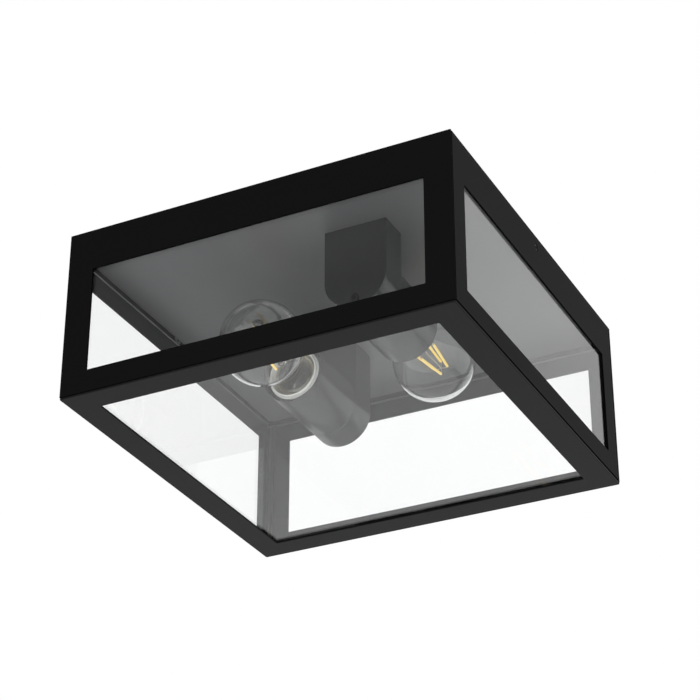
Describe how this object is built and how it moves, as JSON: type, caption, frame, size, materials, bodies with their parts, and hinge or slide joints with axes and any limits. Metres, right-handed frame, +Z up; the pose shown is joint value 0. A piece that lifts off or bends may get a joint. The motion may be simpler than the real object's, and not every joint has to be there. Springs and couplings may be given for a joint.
{
  "type": "flush ceiling lantern",
  "caption": "Square flush ceiling lantern: a black glazed steel cage clamped round a ceiling pan, with filament bulbs lying side by side in tubular lampholders that point opposite ways.",
  "frame": {"origin": "centre of the crossbar's ceiling slots, in the plane of the ceiling", "axes": "+Z up into the ceiling, -Y to the front, +X to the right as seen from the front"},
  "size_m": [0.29, 0.29, 0.13],
  "materials": {
    "black_coat": "satin black powder coat",
    "black_steel": "black oxide",
    "zinc_steel": "zinc plated",
    "brass": "stamped brass, slightly dulled",
    "cap_metal": "bright rolled metal",
    "black_glass": "glossy black insulator",
    "cream_plastic": "moulded cream thermoset, half gloss",
    "terminal_plastic": "moulded off-white",
    "bush_rubber": "black rubber",
    "brown_lead": "brown insulation",
    "blue_lead": "blue insulation",
    "earth_lead": "green and yellow insulation",
    "bulb_glass": "clear thin glass",
    "pane_glass": "clear float glass with polished edges",
    "sealant": "clear silicone",
    "phosphor": "amber phosphor coating"
  },
  "bodies": {
    "ceiling_base": {"ceiling_crossbar": "zinc_steel", "pan_screws": "black_coat", "cable_bush": "bush_rubber", "ceiling_pan": "black_coat", "terminal_block": "terminal_plastic", "terminal_screws": "brass", "earth_stud": "brass", "live_leads": "brown_lead", "neutral_leads": "blue_lead", "earth_lead": "earth_lead", "lamp_bracket_1": "black_coat", "lamp_bracket_2": "black_coat", "foot_screws": "zinc_steel", "holder_screws": "zinc_steel", "lamp_tube_1": "black_coat", "lamp_tube_2": "black_coat", "lampholder_body_1": "cream_plastic", "lampholder_body_2": "cream_plastic", "screw_shell_1": "brass", "screw_shell_2": "brass", "contact_tongue_1": "brass", "contact_tongue_2": "brass"},
    "cage": {"front_panel": "black_coat", "rear_panel": "black_coat", "left_panel": "black_coat", "right_panel": "black_coat", "bottom_frame": "black_coat", "front_glass": "pane_glass", "rear_glass": "pane_glass", "left_glass": "pane_glass", "right_glass": "pane_glass", "bottom_glass": "pane_glass", "glass_tabs": "black_coat", "sealant_beads": "sealant", "press_nuts": "zinc_steel"},
    "left_set_screw": {"left_set_screw": "black_steel"},
    "right_set_screw": {"right_set_screw": "black_steel"},
    "bulb_1_end": {"bulb_contact_1": "cap_metal"},
    "bulb_1": {"bulb_insulator_1": "black_glass", "bulb_cap_1": "cap_metal", "bulb_envelope_1": "bulb_glass", "bulb_stem_1": "bulb_glass", "filament_wires_1": "cap_metal", "filament_sticks_1": "phosphor"},
    "bulb_2_end": {"bulb_contact_2": "cap_metal"},
    "bulb_2": {"bulb_insulator_2": "black_glass", "bulb_cap_2": "cap_metal", "bulb_envelope_2": "bulb_glass", "bulb_stem_2": "bulb_glass", "filament_wires_2": "cap_metal", "filament_sticks_2": "phosphor"}
  },
  "joints": [
    {"name": "cage_slide", "type": "slide", "parent": "ceiling_base", "child": "cage", "axis": [0, 0, -1], "range_m": [0, 0.15]},
    {"name": "left_set_screw_travel", "type": "slide", "parent": "cage", "child": "left_set_screw", "axis": [-1, 0, 0], "range_m": [0, 0.002]},
    {"name": "right_set_screw_travel", "type": "slide", "parent": "cage", "child": "right_set_screw", "axis": [1, 0, 0], "range_m": [0, 0.002]},
    {"name": "bulb_1_travel", "type": "slide", "parent": "ceiling_base", "child": "bulb_1_end", "axis": [0, -1, 0], "range_m": [0, 0.01814]},
    {"name": "bulb_1_turn", "type": "hinge", "parent": "bulb_1_end", "child": "bulb_1", "pos_m": [-0.0468, 0, -0.0595], "axis": [0, -1, 0], "range_deg": [0, 1800]},
    {"name": "bulb_2_travel", "type": "slide", "parent": "ceiling_base", "child": "bulb_2_end", "axis": [0, 1, 0], "range_m": [0, 0.01814]},
    {"name": "bulb_2_turn", "type": "hinge", "parent": "bulb_2_end", "child": "bulb_2", "pos_m": [0.0468, 0, -0.053], "axis": [0, 1, 0], "range_deg": [0, 1800]}
  ],
  "couplings": [
    {"joint": "bulb_1_travel", "follows": "bulb_1_turn", "m_per_rad": 0.00057751},
    {"joint": "bulb_2_travel", "follows": "bulb_2_turn", "m_per_rad": 0.00057751}
  ]
}
